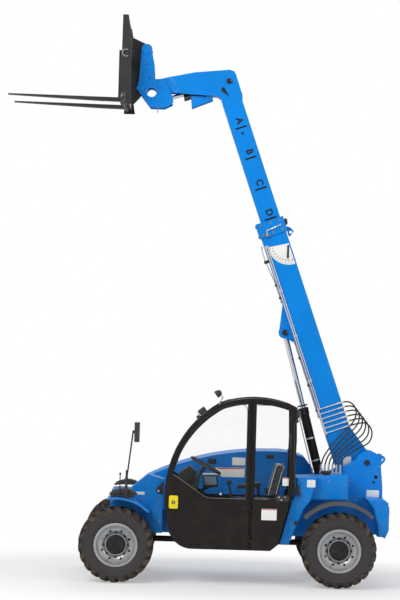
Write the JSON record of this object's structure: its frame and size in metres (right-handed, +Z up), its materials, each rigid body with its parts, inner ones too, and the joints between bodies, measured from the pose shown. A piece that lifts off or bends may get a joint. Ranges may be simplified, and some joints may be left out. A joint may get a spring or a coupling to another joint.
{
  "type": "telehandler",
  "caption": "Compact telescopic handler with a side cab, raised two-section boom with cranked head, hitch, fork carriage and forks on four steered wheels.",
  "frame": {"origin": "on the ground, midway along and across the machine's overall box", "axes": "+X forward, +Y to the operator's left, +Z up"},
  "size_m": [4.084, 1.801, 5.857],
  "materials": {
    "blue_paint": "gloss",
    "black_paint": "satin",
    "rim_paint": "satin",
    "fork_paint": "matte",
    "chrome": "polished",
    "bright_steel": "satin",
    "glazing": "polished",
    "black_plastic": "matte",
    "yellow_plastic": "gloss",
    "grey_rubber": "matte",
    "hose_rubber": "satin",
    "tyre_rubber": "matte",
    "seat_vinyl": "satin"
  },
  "bodies": {
    "chassis": {"chassis_frame": "blue_paint", "counterweight": "blue_paint", "drive_shaft": "black_paint", "engine_pod": "blue_paint", "engine_block": "black_paint", "cab_frame": "black_paint", "cab_tub": "black_paint", "windscreen": "glazing", "roof_panel": "black_paint", "rear_window": "glazing", "quarter_window": "glazing", "right_window": "glazing", "rear_side_panel": "black_paint", "seat_base": "black_paint", "seat_cushion": "seat_vinyl", "seat_back": "seat_vinyl", "steering_column": "black_plastic", "dash": "black_plastic", "control_lever": "black_plastic", "side_tank": "blue_paint", "nose_cowls": "blue_paint", "front_fenders": "blue_paint", "rear_fenders": "grey_rubber", "head_lamps": "black_plastic", "mirror": "black_plastic", "hose_ports": "bright_steel", "hoses": "hose_rubber", "front_axle": "black_paint", "rear_axle": "black_paint"},
    "front_steering_rod": {"front_steering_rod": "chrome"},
    "rear_steering_rod": {"rear_steering_rod": "chrome"},
    "boom_outer": {"boom_outer": "blue_paint", "steel_lines": "bright_steel"},
    "boom_inner": {"boom_inner": "blue_paint"},
    "lift_barrel": {"lift_barrel": "black_paint"},
    "lift_rod": {"lift_rod": "chrome"},
    "tilt_barrel": {"tilt_barrel": "black_paint"},
    "tilt_rod": {"tilt_rod": "chrome"},
    "hitch": {"hitch": "blue_paint", "fork_carriage": "fork_paint", "fork_left": "fork_paint", "fork_right": "fork_paint"},
    "door": {"door_panel": "black_paint", "door_window": "glazing", "door_latch": "yellow_plastic"},
    "engine_hood": {"engine_hood": "blue_paint"},
    "front_left_knuckle": {"front_left_knuckle": "black_paint"},
    "front_left_wheel": {"front_left_rim": "rim_paint", "front_left_tyre": "tyre_rubber"},
    "front_right_knuckle": {"front_right_knuckle": "black_paint"},
    "front_right_wheel": {"front_right_rim": "rim_paint", "front_right_tyre": "tyre_rubber"},
    "rear_left_knuckle": {"rear_left_knuckle": "black_paint"},
    "rear_left_wheel": {"rear_left_rim": "rim_paint", "rear_left_tyre": "tyre_rubber"},
    "rear_right_knuckle": {"rear_right_knuckle": "black_paint"},
    "rear_right_wheel": {"rear_right_rim": "rim_paint", "rear_right_tyre": "tyre_rubber"}
  },
  "joints": [
    {"name": "front_left_steer", "type": "hinge", "parent": "chassis", "child": "front_left_knuckle", "pos_m": [0.792, 0.64, 0.3875], "axis": [0, 0, 1], "range_deg": [-32, 32]},
    {"name": "front_left_spin", "type": "hinge", "parent": "front_left_knuckle", "child": "front_left_wheel", "pos_m": [0.792, 0.768, 0.3875], "axis": [0, 1, 0], "continuous": true},
    {"name": "front_right_steer", "type": "hinge", "parent": "chassis", "child": "front_right_knuckle", "pos_m": [0.792, -0.64, 0.3875], "axis": [0, 0, 1], "range_deg": [-32, 32]},
    {"name": "front_right_spin", "type": "hinge", "parent": "front_right_knuckle", "child": "front_right_wheel", "pos_m": [0.792, -0.768, 0.3875], "axis": [0, 1, 0], "continuous": true},
    {"name": "front_rod_slide", "type": "slide", "parent": "chassis", "child": "front_steering_rod", "axis": [0, 1, 0], "range_m": [-0.075, 0.075]},
    {"name": "rear_left_steer", "type": "hinge", "parent": "chassis", "child": "rear_left_knuckle", "pos_m": [-1.496, 0.64, 0.3875], "axis": [0, 0, 1], "range_deg": [-32, 32]},
    {"name": "rear_left_spin", "type": "hinge", "parent": "rear_left_knuckle", "child": "rear_left_wheel", "pos_m": [-1.496, 0.768, 0.3875], "axis": [0, 1, 0], "continuous": true},
    {"name": "rear_right_steer", "type": "hinge", "parent": "chassis", "child": "rear_right_knuckle", "pos_m": [-1.496, -0.64, 0.3875], "axis": [0, 0, 1], "range_deg": [-32, 32]},
    {"name": "rear_right_spin", "type": "hinge", "parent": "rear_right_knuckle", "child": "rear_right_wheel", "pos_m": [-1.496, -0.768, 0.3875], "axis": [0, 1, 0], "continuous": true},
    {"name": "rear_rod_slide", "type": "slide", "parent": "chassis", "child": "rear_steering_rod", "axis": [0, 1, 0], "range_m": [-0.075, 0.075]},
    {"name": "boom_lift", "type": "hinge", "parent": "chassis", "child": "boom_outer", "pos_m": [-1.805, 0, 1.262], "axis": [0, -1, 0], "range_deg": [-73.4, 0], "deforming": ["hoses"]},
    {"name": "boom_extend", "type": "slide", "parent": "boom_outer", "child": "boom_inner", "axis": [0.3355, 0, 0.9421], "range_m": [-1.26, 0.78]},
    {"name": "fork_tilt", "type": "hinge", "parent": "boom_inner", "child": "hitch", "pos_m": [0.48, 0, 5.185], "axis": [0, 1, 0], "range_deg": [-82, 46]},
    {"name": "lift_barrel_swing", "type": "hinge", "parent": "chassis", "child": "lift_barrel", "pos_m": [-1.387, 0, 0.85], "axis": [0, -1, 0], "range_deg": [-79, 1]},
    {"name": "lift_rod_slide", "type": "slide", "parent": "lift_barrel", "child": "lift_rod", "axis": [0.263, 0, 0.9648], "range_m": [-0.7, 0.01]},
    {"name": "tilt_barrel_swing", "type": "hinge", "parent": "boom_inner", "child": "tilt_barrel", "pos_m": [-0.2431, 0, 5.2459], "axis": [0, 1, 0], "range_deg": [-12, 12]},
    {"name": "tilt_rod_slide", "type": "slide", "parent": "tilt_barrel", "child": "tilt_rod", "axis": [0.9568, 0, -0.2908], "range_m": [-0.12, 0.22]},
    {"name": "door_open", "type": "hinge", "parent": "chassis", "child": "door", "pos_m": [-0.572, 0.807, 1.1], "axis": [0, 0, 1], "range_deg": [0, 100]},
    {"name": "hood_open", "type": "hinge", "parent": "chassis", "child": "engine_hood", "pos_m": [-0.78, -0.216, 1.348], "axis": [-1, 0, 0], "range_deg": [0, 60]}
  ],
  "couplings": [
    {"joint": "front_right_steer", "follows": "front_left_steer", "ratio": 1},
    {"joint": "front_rod_slide", "follows": "front_left_steer", "m_per_rad": 0.114},
    {"joint": "rear_right_steer", "follows": "rear_left_steer", "ratio": 1},
    {"joint": "rear_rod_slide", "follows": "rear_left_steer", "m_per_rad": -0.114},
    {"joint": "lift_barrel_swing", "follows": "boom_lift", "ratio": 1.0623},
    {"joint": "lift_rod_slide", "follows": "boom_lift", "m_per_rad": 0.5403},
    {"joint": "tilt_barrel_swing", "follows": "fork_tilt", "ratio": 0.045},
    {"joint": "tilt_rod_slide", "follows": "fork_tilt", "m_per_rad": -0.129}
  ]
}
